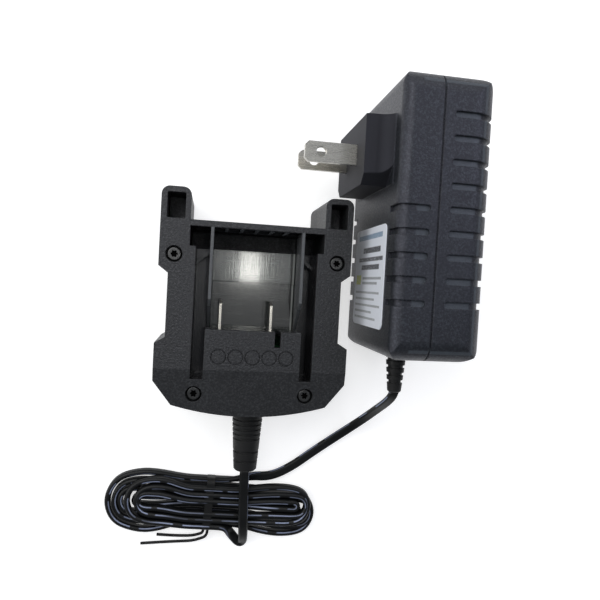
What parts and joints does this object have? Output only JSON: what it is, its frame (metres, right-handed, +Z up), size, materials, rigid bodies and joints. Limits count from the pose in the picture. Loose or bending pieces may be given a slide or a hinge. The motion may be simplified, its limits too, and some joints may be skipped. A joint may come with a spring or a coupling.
{
  "type": "power tool battery charger",
  "caption": "slide-on battery cradle and plug-in adapter with two flat plug blades, joined by a flat twin lead that is folded into a hank with a twist tie",
  "frame": {"origin": "on the table, under the middle of the box of the two housings, their boots and the plug", "axes": "+Z up from the table, the cradle's back face down, +Y from the cradle's cord end towards its posts, +X from the cradle towards the adapter"},
  "size_m": [0.1151, 0.1618, 0.0524],
  "materials": {
    "black_housing": "fine moulded texture, satin",
    "polished_black": "polished",
    "adapter_black": "satin, moulded",
    "bright_nickel": "bright plated",
    "screw_steel": "dark plated",
    "board_green": "solder mask",
    "part_dark": "moulded",
    "copper_winding": "enamelled",
    "ferrite_grey": "sintered",
    "aluminium_can": "drawn",
    "wire_red": "insulated",
    "label_paper": "printed, matt",
    "boot_rubber": "soft moulded",
    "cord_vinyl": "smooth, flat twin",
    "insulator_dark": "moulded"
  },
  "bodies": {
    "root": {"cradle_front_shell": "black_housing", "cradle_back_shell": "black_housing", "cradle_screws": "screw_steel", "terminal_holder": "polished_black", "contact_blade_left": "bright_nickel", "contact_blade_right": "bright_nickel", "cradle_circuit_board": "board_green", "charge_control_chip": "part_dark", "smoothing_capacitor": "aluminium_can", "cradle_lead_wires": "wire_red", "cradle_cord_boot": "boot_rubber", "adapter_cord_boot": "boot_rubber", "adapter_front_shell": "adapter_black", "adapter_back_shell": "adapter_black", "plug_blade_upper": "bright_nickel", "plug_blade_lower": "bright_nickel", "blade_holder": "insulator_dark", "adapter_label": "label_paper", "adapter_circuit_board": "board_green", "transformer_core": "ferrite_grey", "transformer_winding": "copper_winding", "input_capacitor": "aluminium_can", "output_capacitor": "aluminium_can", "heat_sink": "aluminium_can", "switching_transistor": "part_dark", "rectifier_bridge": "part_dark", "fuse": "part_dark", "mains_filter_capacitor": "insulator_dark", "mains_wires": "wire_red", "output_wires": "wire_red", "cord_hank": "cord_vinyl", "cord_adapter_lead": "cord_vinyl", "cord_cradle_lead": "cord_vinyl", "twist_tie": "cord_vinyl"}
  },
  "joints": []
}
